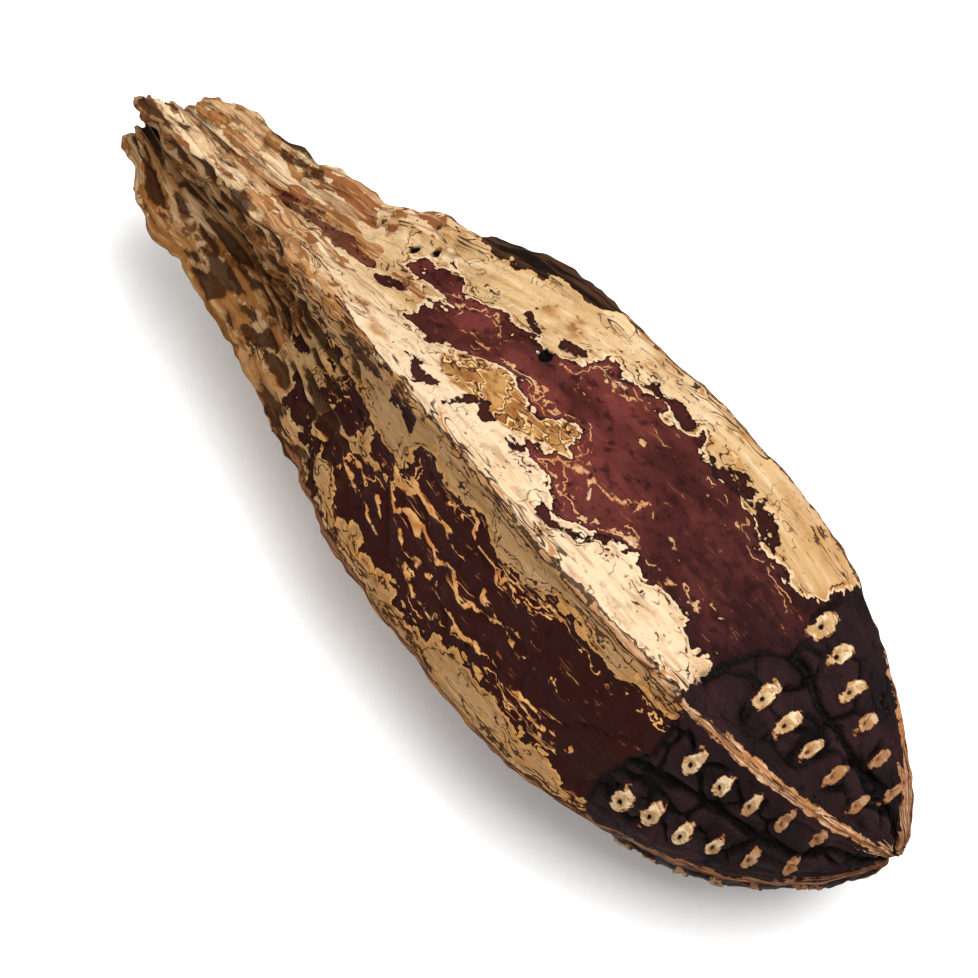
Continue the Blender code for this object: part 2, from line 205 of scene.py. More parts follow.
# How each face is printed: patches, strips, cracks, and whether across runs the other way. The faces that
# the photograph hides take after the two that it shows.
PRINTS = (
    ((LOWER_PRINT, VALLEY_PATCH), LOWER_STRIPS, LOWER_CRACKS, False),
    ((UPPER_PRINT,), UPPER_STRIPS, UPPER_CRACKS, True),
    ((LOWER_PRINT,), LOWER_STRIPS, LOWER_CRACKS, True),
    ((LOWER_PRINT, VALLEY_PATCH), UPPER_STRIPS, LOWER_CRACKS, True),
    ((UPPER_PRINT,), UPPER_STRIPS, UPPER_CRACKS, False),
)
PRINT_DRIFT = (0.0, 0.012, -0.010, 0.008, 0.0)  # further along the core, as a share of its length

# Where the dark scar zone starts, as a share of the length at each share across a face.
TIP_EDGES = (
    ((0.0, 0.815), (0.4, 0.815), (0.5, 0.803), (0.62, 0.795), (0.75, 0.787), (0.9, 0.787), (1.0, 0.80)),
    ((0.0, 0.80), (0.3, 0.805), (0.5, 0.82), (0.7, 0.81), (1.0, 0.805)),
    ((0.0, 0.81), (0.4, 0.80), (0.6, 0.815), (1.0, 0.81)),
    ((0.0, 0.815), (0.35, 0.82), (0.6, 0.80), (1.0, 0.815)),
    ((0.0, 0.815), (0.28, 0.815), (0.36, 0.828), (0.5, 0.832), (0.6, 0.818), (0.8, 0.805), (1.0, 0.805)),
)

# What is stored at the husk's vertices as plain numbers.
FACTS = (
    "print_depth", "strip_gap", "crack_gap", "tip_depth", "bare", "brown", "flap", "hollow", "cracks",
    "knots", "pale", "ochre", "dusk",
)  # fmt: skip

# Seed scars, in the places that the solid gives them.
SCAR_ZONE = 0.80
SCAR_ROWS = (0.25, 0.74)
SCAR_STARTS = ((0.847, 0.815), (0.822, 0.850), (0.849, 0.819), (0.818, 0.846), (0.827, 0.848))
SCAR_SPACING = 0.0275
SCAR_LAST = 0.972
SCAR_STRAY = 0.35
SCAR_LENGTH = 3.6
SCAR_WIDTH = 2.3
SCAR_SHRINK = 0.45
SCAR_TILTS = (-12.0, -12.0, -12.0, -12.0, 6.0)
SCAR_TILT_STRAY = 12.0
# From here on the skin runs ever more steeply in to the tip, so scars cover less of the length.
STEEP_START = 0.78
STEEPENING = 5.2
PIT_PLACE = (0.05, 0.30)  # middle of a scar's pit, in half widths and half lengths of the scar
PIT_SQUAT = 1.5  # how much shorter than the scar the pit is for its width

# Heights and depths of what the husk has beyond the solid, in mm.
SKIN_THICKNESS = 0.24
TEAR = 0.9  # how far outlines are pulled to and fro
NOT_NEAR = 9.0  # stands for any distance that is too far to matter
STRAND_HEIGHT = 1.05
STRAND_LEVEL = 0.45  # how high a strand stands where the solid's own skin is, as a share
CORD_HEIGHT = 0.42
CORD_REACH = 2.1
KNOB_HEIGHT = 0.34
SCAR_RIM = 0.12
SCAR_DISH = 0.42
SCAR_PIT = 0.40
SCAR_MOAT = 0.20
TIP_CRACK = 0.75
CREASE = 0.34
SCRAP_HEIGHT = 0.6
FLAKE_CURL = 0.5
LUMPS = 0.16
STALK_LUMPS = 0.12  # further height of the lumps on the stalk

# The stalk's torn wood, in mm: how far it reaches, and its scraps, whose outlines are bent by soft noise.
STALK_REACH = 29.0
SCRAP_SIZE = 1.5
SCRAP_STRETCH = 4.5
SCRAP_BEND = 3.4
SCRAP_BEND_SIZE = 2.2

# Painted relief that is too fine for the mesh, in mm.
DENT_RELIEF = 0.42
STRAND_RELIEF = 0.26
STREAK_RELIEF = 0.32
PRINT_STREAK_RELIEF = 0.08  # the streaks of the smooth maroon prints

HUSK_SPECULAR = 0.04  # dry husk has nearly no shine

# The studio, in metres, watts and degrees. The camera looks as the photograph does.
PHOTO_VIEW = (49.0, 62.0)
CAMERA_TARGET = (0.0, 0.0, 0.016)
CAMERA_DISTANCE = 0.41
CAMERA_LENS = 150.0
KEY_PLACE = (0.25, 0.15, 0.92)
KEY_TARGET = (0.0, 0.0, 0.015)
KEY_SIZE = 0.7
KEY_WATTS = 13.5
SKY_STRENGTH = 0.76
FLOOR_SIZE = 6.0


def along(table, places):
    """Values of a table of (place, value) rows, straight between its rows."""
    return np.interp(places, [row[0] for row in table], [row[1] for row in table])


def fade(values, start, end):
    """0 up to start and 1 from end on, smooth between, and the other way round if end comes first."""
    t = np.clip((values - start) / (end - start), 0.0, 1.0)
    return t * t * (3 - 2 * t)


def rough(points, size, stretch=1.0, seed=0.0):
    """Smooth seeded noise from -1 to 1 at each point, with lumps of a size, drawn out along the core."""
    scaled = points / np.array((size * stretch, size, size)) + seed
    return np.array([noise.noise(Vector(point) + NOISE_START) for point in scaled])


def plates(points, size, stretch=1.0, seed=0.0):
    """How far each point is from the cracks between irregular plates, from 0 in a crack."""
    scaled = points / np.array((size * stretch, size, size)) + seed
    gaps = []
    for point in scaled:
        near = noise.voronoi(Vector(point) + NOISE_START)[0]
        gaps.append(near[1] - near[0])
    return np.array(gaps)


# Places on the skin.
def rib_angles(shares):
    """Angles of the ribs at each share of the length, in radians."""
    steps = np.linspace(0.0, 1.0, 201)
    angles = []
    for rib, start in enumerate(RIB_ANGLES):
        lean = RIB_TWIST * np.sin(math.pi * steps)
        if rib == 0:
            lean = lean + along(TOP_RIB_LEAN, steps)
        own = [RIB_WANDER * noise.noise(Vector((s * 3.0, rib * 5.0, 0.5)) + NOISE_START) for s in steps]
        angles.append(np.radians(np.interp(shares, steps, start + lean + np.array(own))))
    return np.array(angles)


def skin_places(mesh):
    """Where each vertex of the husk lies on the core."""
    points = np.array([vert.co for vert in mesh.vertices]) / MM
    beak = points[points[:, 0].argmax()]
    x, y, z = (points - beak + (LENGTH, 0, 0)).T
    share = np.clip(x / LENGTH, 0.0, 1.0)
    ribs = rib_angles(share)
    turn = (np.arctan2(-y, z) - ribs[0]) % (2 * math.pi)
    rises = (ribs - ribs[0]) % (2 * math.pi)
    face = sum(turn >= rise for rise in rises[1:]).astype(int)
    each = np.arange(len(share))
    first = rises[face, each]
    second = np.where(face == FACES - 1, 2 * math.pi, rises[(face + 1) % FACES, each])
    radius = np.hypot(y, z)
    across = (turn - first) / (second - first)
    width = 2 * radius * np.sin((second - first) / 2)
    rib_gap = np.minimum(across, 1 - across) * width
    girth = 2 * math.pi * (face + across) / FACES
    grain = np.stack((x, GIRTH_RADIUS * np.cos(girth), GIRTH_RADIUS * np.sin(girth)), axis=1)
    rib = np.where(across < 0.5, face, (face + 1) % FACES)
    return SimpleNamespace(
        points=points, grain=grain, share=share, face=face, across=across,
        width=width, rib=rib, rib_gap=rib_gap,
    )  # fmt: skip


def distance_to(route, share, across, width):
    """Distance of each place from a line through (share, across) points, in millimetres."""
    nearest = np.full(len(share), np.inf)
    for (s1, a1), (s2, a2) in zip(route, route[1:]):
        px, py = (share - s1) * LENGTH, (across - a1) * width
        qx, qy = (s2 - s1) * LENGTH, (a2 - a1) * width
        t = np.clip((px * qx + py * qy) / (qx * qx + qy * qy), 0.0, 1.0)
        nearest = np.minimum(nearest, np.hypot(px - t * qx, py - t * qy))
    return nearest


def inside(outline, share, across):
    """Which places lie inside a closed outline of (share, across) points."""
    odd = np.zeros(len(share), bool)
    for (s1, a1), (s2, a2) in zip(outline, (*outline[1:], outline[0])):
        crosses = (a1 > across) != (a2 > across)
        if a1 != a2:
            odd ^= crosses & (share < (s2 - s1) * (across - a1) / (a2 - a1) + s1)
    return odd


def prints(skin):
    """How far each place is inside the maroon, off the nearest cream strip and off the nearest crack."""
    depth = np.zeros(len(skin.share))
    strip = np.full(len(skin.share), NOT_NEAR)
    crack = np.full(len(skin.share), NOT_NEAR)
    torn_share = skin.share + TEAR * rough(skin.grain, 1.5, 1.5, seed=61.0) / LENGTH
    torn_across = skin.across + TEAR * rough(skin.grain, 1.3, 1.5, seed=67.0) / np.maximum(skin.width, 1.0)
    for number, (patches, strips, cracks, mirrored) in enumerate(PRINTS):
        here = skin.face == number
        share = torn_share[here] - PRINT_DRIFT[number]
        across = 1 - torn_across[here] if mirrored else torn_across[here]
        width = skin.width[here]
        found = np.full(len(share), -np.inf)
        for outline in patches:
            far = distance_to((*outline, outline[0]), share, across, width)
            found = np.maximum(found, np.where(inside(outline, share, across), far, -far))
        depth[here] = found
        for gaps, routes in ((strip, strips), (crack, cracks)):
            for wide, route in routes:
                gap = distance_to(route, share, across, width) - wide / 2
                gaps[here] = np.minimum(gaps[here], gap)
    return np.clip(depth, -6.0, 6.0), np.clip(strip, -3.0, 3.0), np.clip(crack, -3.0, 3.0)


def crests(skin):
    """How far each place is inside the bare wood of a rib's crest, in mm, and how brown that wood is."""
    bare = np.empty(len(skin.share))
    for rib, table in enumerate(BARE_CRESTS):
        here = skin.rib == rib
        bare[here] = along(table, skin.share[here]) - skin.rib_gap[here]
    return bare, np.array(CREST_BROWNS)[skin.rib]


def lifted_flap(skin):
    """How far each place is inside the flap of skin that has lifted, painted dark partly as shade, in mm.
    """
    rib, middle, half = FLAP
    reach = np.where(skin.face == rib, FLAP_REACH[1], FLAP_REACH[0])
    inside_it = reach * (1 - ((skin.share - middle) / half) ** 2) - skin.rib_gap
    return np.where(skin.rib == rib, np.clip(inside_it, -2.0, 2.0), -2.0)


def knot_holes(skin):
    """How far each place is off the rim of the nearest knot hole, in mm, less than 0 inside it."""
    gap = np.full(len(skin.share), 3.0)
    for share, across, radius in HOLES:
        far = np.hypot((skin.share - share) * LENGTH, (skin.across - across) * skin.width)
        gap = np.minimum(gap, far - radius)
    return np.where(skin.face == UPPER_FACE, gap, 3.0)


def tip_depth(skin):
    """How far each place is past the edge of the dark scar zone, in millimetres."""
    edge = np.empty(len(skin.share))
    for number, table in enumerate(TIP_EDGES):
        here = skin.face == number
        edge[here] = along(table, skin.across[here])
    return (skin.share - edge) * LENGTH


def scar_places(skin):
    """(along the core, across it, off its middle) in the nearest scar, 1 being the scar's rim."""
    nearest = np.full((len(skin.share), 3), NOT_NEAR)
    for face in range(FACES):
        here = np.flatnonzero((skin.face == face) & (skin.share > SCAR_ZONE - 0.03))
        share, across, width = skin.share[here], skin.across[here], skin.width[here]
        number = 0
        for row, start in zip(SCAR_ROWS, SCAR_STARTS[face]):
            for i in range(math.ceil((SCAR_LAST - start) / SCAR_SPACING)):
                place = start + i * SCAR_SPACING
                size = 1 - SCAR_SHRINK * (place - SCAR_ZONE) / (1 - SCAR_ZONE)
                stray = SCAR_STRAY * noise.noise(Vector((face * 3.1, number * 1.7, 2.0)) + NOISE_START)
                lean = noise.noise(Vector((face * 2.3, number * 1.9, 7.0)) + NOISE_START)
                tilt = math.radians(SCAR_TILTS[face] + SCAR_TILT_STRAY * lean)
                steep = 1 + STEEPENING * max(0.0, place - STEEP_START)
                run = (share - place) * LENGTH * steep - stray
                side = (across - row) * width - stray
                u = (run * math.cos(tilt) - side * math.sin(tilt)) / (SCAR_WIDTH * size / 2)
                v = (run * math.sin(tilt) + side * math.cos(tilt)) / (SCAR_LENGTH * size / 2)
                far = np.hypot(u, v)
                closer = far < nearest[here, 2]
                nearest[here[closer]] = np.stack((u, v, far), axis=1)[closer]
                number += 1
    return nearest


# The husk's shape.
def copy_of_solid():
    """The solid's skin as one closed mesh of small squares."""
    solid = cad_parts["pod_core"]
    bpy.ops.object.select_all(action="DESELECT")
    husk = bpy.data.objects.new("husk", solid.data.copy())
    husk.data.materials.clear()
    bpy.context.scene.collection.objects.link(husk)
    husk.select_set(True)
    bpy.context.view_layer.objects.active = husk
    bpy.ops.object.mode_set(mode="EDIT")
    bpy.ops.mesh.select_all(action="SELECT")
    bpy.ops.mesh.remove_doubles(threshold=0.001 * MM)
    most = math.radians(60)
    bpy.ops.mesh.tris_convert_to_quads(face_threshold=most, shape_threshold=most)
    bpy.ops.object.mode_set(mode="OBJECT")
    finer = husk.modifiers.new("finer", "SUBSURF")
    finer.levels = finer.render_levels = 2
    bpy.ops.object.modifier_apply(modifier=finer.name)
    return husk


def stalk_strands(skin):
    """The net of dry fibres round the stalk half: (how strong it is, how high each place of it stands)."""
    long_net = fade(skin.share, 0.47, 0.33)
    short_net = 0.6 * fade(skin.share, 0.33, 0.08)
    strong = np.where(skin.face == LOWER_FACE, long_net, short_net)
    strand = 1 - np.abs(rough(skin.grain, 3.4, 5.0, seed=3.0)) / 0.30
    finer = 1 - np.abs(rough(skin.points, 1.9, 3.5, seed=8.0)) / 0.30
    return strong, np.maximum(np.clip(strand, 0, 1), 0.8 * np.clip(finer, 0, 1))


def rib_cords(skin):
    """Height of the fibre cords that run beside the ribs' crests."""
    near = np.exp(-((skin.rib_gap / CORD_REACH) ** 2))
    cords = rough(skin.grain, 1.25, 16.0, seed=5.0)
    knobs = rough(skin.points, 2.2, 1.0, seed=2.0) + 0.6 * rough(skin.points, 1.1, 1.0, seed=6.0)
    calm = 1 - 0.45 * fade(skin.share, 0.35, 0.6)
    return near * (CORD_HEIGHT * cords + KNOB_HEIGHT * calm * knobs)


def scar_pads(scar):
    """Height of the scars' rims and pits, and of the moats round them."""
    far = scar[:, 2]
    from_pit = np.hypot(scar[:, 0] - PIT_PLACE[0], PIT_SQUAT * (scar[:, 1] - PIT_PLACE[1]))
    pad = SCAR_RIM * fade(far, 1.16, 0.92)
    dish = SCAR_DISH * fade(far, 0.95, 0.1)
    pit = SCAR_PIT * fade(from_pit, 0.38, 0.10)
    moat = SCAR_MOAT * np.exp(-(((far - 1.32) / 0.16) ** 2))
    return pad - dish - pit - moat


def tip_cracks(skin, scar):
    """How open the cracks between the scar zone's plates are at each place, from 0 to 1."""
    dark = fade(tip_depth(skin), -0.8, 0.4)
    wander = 1.1 * rough(skin.points, 4.0, 1.0, seed=11.0)
    middle = np.abs((skin.across - 0.5) * skin.width + wander)
    crack = fade(middle, 0.75, 0.1)
    between = fade(plates(skin.points, 5.2, 1.0, seed=4.0), 0.10, 0.02) * fade(skin.rib_gap, 1.2, 2.4)
    edge = np.exp(-((tip_depth(skin) / 0.5) ** 2)) * fade(skin.rib_gap, 1.0, 2.5)
    clear = fade(scar[:, 2], 1.15, 1.5)
    return dark * np.clip(np.maximum(crack, np.maximum(0.8 * between, 0.8 * edge)), 0, 1) * clear


def wrinkles(skin, depth):
    """Low lumps and creases of the dried skin."""
    body = fade(skin.share, 0.15, 0.4)
    soft = rough(skin.points, 2.6, 1.5, seed=1.0) + 0.5 * rough(skin.points, 1.2, 1.3, seed=9.0)
    crease = np.clip(1 - np.abs(rough(skin.points, 5.0, 1.0, seed=14.0)) / 0.10, 0, 1)
    on_print = fade(depth, -0.3, 0.8)
    scraps = np.clip(plates(skin.grain, 3.0, 2.3, seed=23.0) / 0.35, 0, 1)
    lumps = (LUMPS + STALK_LUMPS * (1 - body)) * soft
    return lumps - CREASE * on_print * crease + SCRAP_HEIGHT * (1 - body) * (scraps - 0.6)


def shape_husk(husk):
    """Raises the fine relief along the skin's normals, and stores what the finish is painted by."""
    mesh = husk.data
    skin = skin_places(mesh)
    depth, strip, crack = prints(skin)
    tip, scar = tip_depth(skin), scar_places(skin)
    strong, strand = stalk_strands(skin)
    cracks, knots = tip_cracks(skin, scar), knot_holes(skin)
    bare, brown = crests(skin)
    ochre = ochre_flakes(skin)
    off = np.maximum(fade(depth, -0.5, 0.7) * fade(strip, -0.1, 0.4), fade(crack, 0.3, -0.2))
    height = STRAND_HEIGHT * strong * (strand - STRAND_LEVEL)
    height += rib_cords(skin) + scar_pads(scar) + wrinkles(skin, depth)
    height -= TIP_CRACK * np.maximum(cracks, fade(knots, 0.0, -0.3))
    height -= SKIN_THICKNESS * off * fade(tip, 0.5, -1.5)
    height += FLAKE_CURL * ochre * rough(skin.grain, 1.3, 2.0, seed=71.0)
    normals = np.array([vert.normal for vert in mesh.vertices])
    low, high = np.array(cad_box[0]) / MM, np.array(cad_box[1]) / MM
    moved = np.clip(skin.points + normals * height[:, None], low, high)
    mesh.vertices.foreach_set("co", (moved * MM).ravel())
    mesh.update()
    mesh.shade_smooth()
    facts = {
        "grain": skin.grain,
        "scar": scar,
        "print_depth": depth,
        "strip_gap": strip,
        "crack_gap": crack,
        "tip_depth": tip,
        "bare": bare,
        "brown": brown,
        "flap": lifted_flap(skin),
        "hollow": np.clip(strong * (0.75 - strand), 0, 1),
        "cracks": cracks,
        "knots": knots,
        "pale": paleness(skin),
        "ochre": ochre,
        "dusk": painted_face_shading(skin),
    }
    for name, values in facts.items():
        keep(mesh, name, values)


def painted_face_shading(skin):
    """Painted shade on each face: how much darker and browner its skin is painted, from 0 on the upper
    face to 1 on the lower one.
    """
    return np.where(skin.face == LOWER_FACE, 1.0, np.where(skin.face == UPPER_FACE, 0.0, 0.6))


def keep(mesh, name, values):
    """Stores a number or a vector at every vertex."""
    kind, field = ("FLOAT_VECTOR", "vector") if values.ndim == 2 else ("FLOAT", "value")
    attribute = mesh.attributes.new(name, kind, "POINT")
    attribute.data.foreach_set(field, values.astype(np.float32).ravel())


def paleness(skin):
    """How pale the cream layer is painted, from 0 to 1: most beside the top rib, on its upper side."""
    upper = skin.face == UPPER_FACE
    beside = np.where(upper, fade(skin.across, 0.55, 0.85) * fade(skin.share, 0.2, 0.4), 0.0)
    outer = np.where(upper, 0.10 * fade(skin.across, 0.45, 0.25), 0.0)
    patches = 0.5 + 0.6 * rough(skin.points, 9.0, 1.6, seed=17.0)
    return np.clip(0.25 + 0.65 * beside + outer + 0.35 * (patches - 0.5), 0, 1)


def ochre_flakes(skin):
    """Where the cream has dried to golden, wrinkled flakes, from 0 to 1."""
    flakes = np.zeros(len(skin.share))
    for reach, route in OCHRE_PATCHES:
        far = distance_to(route, skin.share, skin.across, skin.width)
        flakes = np.maximum(flakes, np.where(skin.face == UPPER_FACE, fade(far, reach, reach * 0.5), 0.0))
    return flakes


# Finishes.
def linear(code):
    """An sRGB hex colour as linear red, green, blue and alpha."""
    shares = [int(code[i : i + 2], 16) / 255 for i in (1, 3, 5)]
    return (*[s / 12.92 if s <= 0.04045 else ((s + 0.055) / 1.055) ** 2.4 for s in shares], 1.0)


def add(tree, kind, inputs=(), **settings):
    """Adds a node with its settings, and gives its inputs values or links, by place or by name."""
    node = tree.nodes.new("ShaderNode" + kind)
    for name, value in settings.items():
        setattr(node, name, value)
    for key, value in inputs.items() if isinstance(inputs, dict) else enumerate(inputs):
        if isinstance(value, bpy.types.Node):
            value = value.outputs[0]
        if isinstance(value, bpy.types.NodeSocket):
            tree.links.new(value, node.inputs[key])
        else:
            node.inputs[key].default_value = value
    return node


def skin_facts(tree):
    """What the husk's vertices know, and the few textures that its layers share.

    Real husk fibres and grit are 0.05 to 0.1 mm across, too fine to show here, so they are drawn three to
    six times as coarse. Dents, folds, strands and blotches have the size that they have on the real core.
    """
    at = SimpleNamespace()
    place = add(tree, "TexCoord").outputs["Object"]
    at.place = add(tree, "VectorMath", {0: place, "Scale": 1 / MM}, operation="SCALE")
    at.grain = add(tree, "Attribute", attribute_name="grain").outputs["Vector"]
    at.scar = add(tree, "Attribute", attribute_name="scar").outputs["Vector"]
    for name in FACTS:
        setattr(at, name, add(tree, "Attribute", attribute_name=name).outputs["Fac"])
    at.run = add(tree, "SeparateXYZ", (at.grain,)).outputs["X"]
    at.blotch = mottle(tree, at.place, size=4.5, stretch=1.7, shift=3.0)
    at.patch = mottle(tree, at.place, size=3.1, stretch=1.5, shift=33.0)
    at.dent = mottle(tree, at.place, size=1.0, stretch=1.5, shift=47.0, detail=3.0)
    at.grit = mottle(tree, at.place, size=0.45, stretch=2.0, shift=21.0)
    at.streak = mottle(tree, at.grain, size=0.6, stretch=9.0, shift=7.0)
    at.strand = mottle(tree, at.grain, size=1.3, stretch=9.0, shift=95.0)
    at.curl = mottle(tree, at.grain, size=1.7, stretch=2.2, shift=77.0)
    at.fibre = mottle(tree, at.grain, size=0.34, stretch=12.0, shift=55.0)
    return at


def mottle(tree, place, size, stretch, shift, detail=2.0):
    """Soft blotches of a size in millimetres, drawn out along the core, from 0 to 1 round a half."""
    drawn = {0: place, "Location": (shift, shift, shift), "Scale": (1 / stretch, 1, 1)}
    place = add(tree, "Mapping", drawn)
    return add(tree, "TexNoise", {"Vector": place, "Scale": 1 / size, "Detail": detail, "Roughness": 0.55})


def shards(tree, place, size, stretch):
    """Angular cells of a size in millimetres, drawn out along the core."""
    drawn = add(tree, "Mapping", {0: place, "Scale": (1 / stretch, 1, 1)})
    return add(tree, "TexVoronoi", {"Vector": drawn, "Scale": 1 / size}, distance="MANHATTAN").outputs


def frayed(tree, value, *pulls):
    """A value whose outlines are pulled to and fro by each (texture, low, high, how far at most)."""
    for texture, low, high, reach in pulls:
        pull = add(tree, "MapRange", (texture, low, high, -reach, reach))
        value = add(tree, "Math", (value, pull), operation="ADD")
    return value


def where(tree, *bounds, most=1.0):
    """The mask of the places where each (value, start, end) has gone from its start to its end."""
    mask = most
    for value, start, end in bounds:
        mask = add(tree, "MapRange", (value, start, end, 0.0, mask))
    return mask


def line(tree, value, middle, half, most=1.0):
    """The mask of a thin line where a value is near its middle, about half wide to each side."""
    off = add(tree, "Math", (value, middle), operation="SUBTRACT")
    off = add(tree, "Math", (off,), operation="ABSOLUTE")
    return add(tree, "MapRange", (off, half * 0.55, half * 1.15, most, 0.0))


def highest(tree, first, *others):
    """The mask of the places that any of some masks covers."""
    for other in others:
        first = add(tree, "Math", (first, other), operation="MAXIMUM")
    return first


def stained(tree, colour, *stains):
    """A colour under stains: (sRGB colour, strength or mask, bounds...), each where its bounds hold."""
    for code, most, *bounds in stains:
        colour = add(tree, "MixRGB", (where(tree, *bounds, most=most), colour, linear(code)))
    return colour


def laid_over(tree, mask, under, over):
    """One finish on another where the mask is 1. A finish is (colour, roughness)."""
    return tuple(add(tree, "MixRGB", (mask, below, above)) for below, above in zip(under, over))


def even(value):
    """A roughness that is the same all over one layer of a finish."""
    return (value, value, value, 1.0)


def flaking_cream(tree, at):
    """Dry papery skin: pale, streaked along the core, yellowed in patches, scratched and pitted."""
    pale_tone = add(tree, "Math", (at.pale, at.blotch), operation="ADD")
    colour = stained(
        tree, linear("#94714a"),
        ("#b4956a", 1.0, (pale_tone, 0.42, 0.84)),
        ("#c4aa8a", 1.0, (pale_tone, 0.84, 1.35)),
        ("#87633c", 0.55, (at.streak, 0.54, 0.70)),
        ("#cdb899", 0.45, (at.streak, 0.46, 0.34)),
        ("#8f5f2c", 0.45, (at.patch, 0.56, 0.66)),
        ("#936230", 0.7, (at.run, 70.0, 88.0), (at.pale, 0.55, 0.30), (at.blotch, 0.35, 0.60)),
        # Painted shade: the cream is painted darker and browner on the shaded faces.
        ("#85603a", 0.66, (at.dusk, 0.0, 1.0)),
        ("#8d7258", 0.6, (at.dent, 0.44, 0.34), (at.pale, 0.0, 1.0)),
        ("#5c3c20", line(tree, at.dent, 0.5, 0.012, 0.4), (at.blotch, 0.54, 0.58)),
        ("#4a2c17", line(tree, at.curl, 0.5, 0.010, 0.75), (at.patch, 0.44, 0.40)),
        ("#3a2110", 0.85, (at.grit, 0.64, 0.69), (at.patch, 0.46, 0.56)),
    )  # fmt: skip
    return colour, even(0.85)


def golden_flakes(tree, at, cream):
    """Where the papery skin dried golden and curled: brown folds with pale rims beside them, the rims
    painted highlights, and brown painted shade in the hollows.
    """
    golden = frayed(tree, at.ochre, (at.patch, 0.3, 0.7, 0.45))
    colour = stained(
        tree, linear("#7c4d27"),
        ("#a27a46", 1.0, (at.dent, 0.4, 0.62)),
        # Painted shade: browner in the hollows of the curls.
        ("#7d4d22", 0.6, (at.curl, 0.45, 0.36)),
    )  # fmt: skip
    folds = (
        (0.42, (at.patch, 0.44, 0.50)),
        (0.49, (at.patch, 0.53, 0.47)),
        (0.56, (at.blotch, 0.46, 0.52)),
    )
    for level, part in folds:
        colour = stained(
            tree, colour,
            # Painted highlight: a pale line beside each fold.
            ("#c9a878", line(tree, at.curl, level + 0.028, 0.020, 0.85), part),
            ("#3a1a0e", line(tree, at.curl, level, 0.018, 0.9), part),
        )  # fmt: skip
    return laid_over(tree, where(tree, (golden, 0.30, 0.50)), cream, (colour, even(0.85)))


def wing_print(tree, at):
    """Maroon underskin that the seeds' wings pressed smooth: nearly matt, with dark dents and flecks."""
    dents = where(tree, (at.dent, 0.45, 0.33))
    more_dents = where(tree, (at.run, 62.0, 90.0), (at.dent, 0.52, 0.42))
    fleck = line(tree, at.strand, 0.5, 0.012, 0.85)
    colour = stained(
        tree, linear("#391613"),
        ("#5c2924", 1.0, (at.blotch, 0.36, 0.62)),
        ("#1c0c0d", 0.82, (at.run, 62.0, 90.0)),
        ("#1d0a0a", 0.75, (highest(tree, dents, more_dents), 0.0, 1.0)),
        # Painted shade: the maroon is painted darker on the shaded faces.
        ("#250c08", 0.9, (at.dusk, 0.0, 1.0)),
        ("#7d4629", fleck, (at.dent, 0.56, 0.62), (at.patch, 0.46, 0.50)),
    )  # fmt: skip
    return colour, add(tree, "MapRange", (at.dent, 0.3, 0.7, 0.72, 0.58))


def curled_edge(tree, at, cream, depth):
    """The cream beside its torn edge: stained, lit along the edge, and followed by dark broken lines."""
    late = add(tree, "MapRange", (at.run, 80.0, 88.0, 0.0, 0.62))
    stain = add(tree, "MapRange", (highest(tree, at.patch, late), 0.38, 0.62, 0.1, 0.75))
    colour = stained(tree, cream[0], ("#8f5a28", stain, (depth, -1.3, -0.1)))
    # Painted highlight: a pale line along the cream's torn edge, painted browner on the shaded faces.
    lit = stained(tree, linear("#cdb899"), ("#b0834b", 1.0, (at.dusk, 0.0, 1.0)))
    colour = add(tree, "MixRGB", (line(tree, depth, -0.22, 0.17, 0.65), colour, lit))
    dark = "#27110b"
    colour = stained(
        tree, colour,
        (dark, line(tree, depth, -0.75, 0.11, 0.95), (at.patch, 0.48, 0.51)),
        (dark, line(tree, depth, -1.35, 0.10, 0.95), (at.blotch, 0.51, 0.54)),
        (dark, line(tree, depth, -2.10, 0.10, 0.95), (at.patch, 0.54, 0.57)),
    )  # fmt: skip
    return colour, cream[1]


def left_slips(tree, at, cream, maroon, depth, strip):
    """The slips and threads of cream that stayed on the maroon, painted golden where the faces are in
    painted shade.
    """
    threads = line(tree, at.strand, 0.43, 0.014)
    left = highest(
        tree,
        where(tree, (strip, 0.05, -0.05)),
        where(tree, (at.blotch, 0.52, 0.55), most=line(tree, depth, 0.90, 0.12)),
        where(tree, (at.patch, 0.56, 0.59), most=line(tree, depth, 1.55, 0.10)),
        where(tree, (at.blotch, 0.57, 0.60), (at.dusk, 0.0, 1.0), (at.run, 88.0, 76.0), most=threads),
    )
    slip = stained(tree, cream[0], ("#ad7a4d", 0.8, (at.patch, 0.38, 0.6)))
    golden = stained(tree, linear("#b06f38"), ("#cf9c60", 1.0, (at.dent, 0.38, 0.58)))
    # Painted shade: the slips turn golden on the shaded faces.
    slip = add(tree, "MixRGB", (where(tree, (at.dusk, 0.0, 1.0), most=0.8), slip, golden))
    return laid_over(tree, left, maroon, (slip, even(0.8)))


